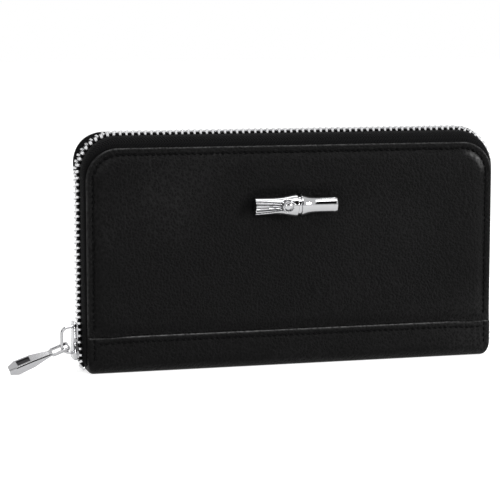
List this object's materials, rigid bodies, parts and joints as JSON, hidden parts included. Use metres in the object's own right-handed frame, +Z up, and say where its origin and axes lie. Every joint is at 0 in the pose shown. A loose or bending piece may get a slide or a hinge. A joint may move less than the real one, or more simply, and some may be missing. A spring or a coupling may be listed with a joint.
{
  "type": "zip-around wallet",
  "caption": "Long smooth leather zip-around wallet with a metal zip running round three sides, a bar pull on the slider and a bamboo-shaped bar ornament on the front cover.",
  "frame": {"origin": "centre of the flat base under the spine, midway between the covers and midway along the covers' width", "axes": "+X along the width towards the zip's open end, -Y out of the front cover, +Z up from the spine to the zip along the top"},
  "size_m": [0.2226, 0.0311, 0.105],
  "materials": {
    "smooth_leather": "smooth black calf leather, semi-gloss, fine grain",
    "band_leather": "smooth black calf leather, semi-gloss, folded and stitched edge",
    "pocket_leather": "thin black leather, satin",
    "lining_fabric": "black twill lining, matte",
    "zip_tape": "black herringbone woven tape, matte",
    "stiffener_board": "grey board, hidden",
    "zip_metal": "silver-coloured polished zip metal",
    "polished_metal": "silver-coloured polished die-cast metal",
    "plain_metal": "plain steel, hidden"
  },
  "bodies": {
    "back_half": {"back_cover": "smooth_leather", "back_board": "stiffener_board", "back_lining": "lining_fabric", "base_band": "band_leather", "spine_board": "stiffener_board", "spine_lining": "lining_fabric", "back_tape": "zip_tape", "back_teeth": "zip_metal", "back_stop_left": "zip_metal", "back_stop_right": "zip_metal", "left_gusset": "lining_fabric", "right_gusset": "lining_fabric", "back_card_pocket_1": "pocket_leather", "back_card_pocket_2": "pocket_leather", "back_card_pocket_3": "pocket_leather", "back_card_pocket_4": "pocket_leather"},
    "front_half": {"front_cover": "smooth_leather", "front_board": "stiffener_board", "front_lining": "lining_fabric", "front_band": "band_leather", "front_tape": "zip_tape", "front_teeth": "zip_metal", "front_stop_left": "zip_metal", "front_stop_right": "zip_metal", "front_card_pocket_1": "pocket_leather", "front_card_pocket_2": "pocket_leather", "front_card_pocket_3": "pocket_leather", "front_card_pocket_4": "pocket_leather", "bamboo_bar": "polished_metal", "bamboo_post_left": "plain_metal", "bamboo_post_right": "plain_metal", "bamboo_backing_plate": "plain_metal"},
    "divider_front": {"front_divider": "pocket_leather"},
    "divider_back": {"back_divider": "pocket_leather"},
    "coin_pocket": {"front_coin_wall": "lining_fabric", "back_coin_wall": "lining_fabric", "coin_binding": "pocket_leather", "front_coin_tape": "zip_tape", "back_coin_tape": "zip_tape", "front_coin_teeth": "zip_metal", "back_coin_teeth": "zip_metal", "coin_stop_left": "zip_metal", "coin_stop_right": "zip_metal"},
    "coin_slider": {"coin_slider_body": "polished_metal", "coin_slider_bridge": "polished_metal"},
    "coin_pull": {"coin_pull": "polished_metal"},
    "zip_slider": {"slider_body": "polished_metal", "slider_bridge": "polished_metal"},
    "zip_pull": {"pull_bar": "polished_metal"}
  },
  "joints": [
    {"name": "front_open", "type": "hinge", "parent": "back_half", "child": "front_half", "pos_m": [0, -0.0119, 0.005], "axis": [1, 0, 0], "range_deg": [0, 40], "deforming": ["left_gusset", "right_gusset", "front_tape", "front_teeth", "front_stop_left", "front_stop_right"]},
    {"name": "divider_front_fan", "type": "hinge", "parent": "back_half", "child": "divider_front", "pos_m": [0, -0.0119, 0.005], "axis": [1, 0, 0], "range_deg": [0, 30]},
    {"name": "coin_pocket_fan", "type": "hinge", "parent": "back_half", "child": "coin_pocket", "pos_m": [0, -0.0119, 0.005], "axis": [1, 0, 0], "range_deg": [0, 20]},
    {"name": "divider_back_fan", "type": "hinge", "parent": "back_half", "child": "divider_back", "pos_m": [0, -0.0119, 0.005], "axis": [1, 0, 0], "range_deg": [0, 10]},
    {"name": "zip_travel", "type": "slide", "parent": "back_half", "child": "zip_slider", "axis": [0, 0, 1], "range_m": [0, 0.062], "deforming": ["back_teeth"]},
    {"name": "pull_swing", "type": "hinge", "parent": "zip_slider", "child": "zip_pull", "pos_m": [-0.1, 0, 0.0116], "axis": [0, 1, 0], "range_deg": [-60, 68]},
    {"name": "coin_zip_travel", "type": "slide", "parent": "coin_pocket", "child": "coin_slider", "axis": [1, 0, 0], "range_m": [0, 0.122], "deforming": ["front_coin_teeth", "back_coin_teeth"]},
    {"name": "coin_pull_swing", "type": "hinge", "parent": "coin_slider", "child": "coin_pull", "pos_m": [-0.0607, 0, 0.09085], "axis": [0, -1, 0], "range_deg": [0, 150]}
  ],
  "couplings": [
    {"joint": "divider_front_fan", "follows": "front_open", "ratio": 0.75},
    {"joint": "coin_pocket_fan", "follows": "front_open", "ratio": 0.5},
    {"joint": "divider_back_fan", "follows": "front_open", "ratio": 0.25}
  ]
}
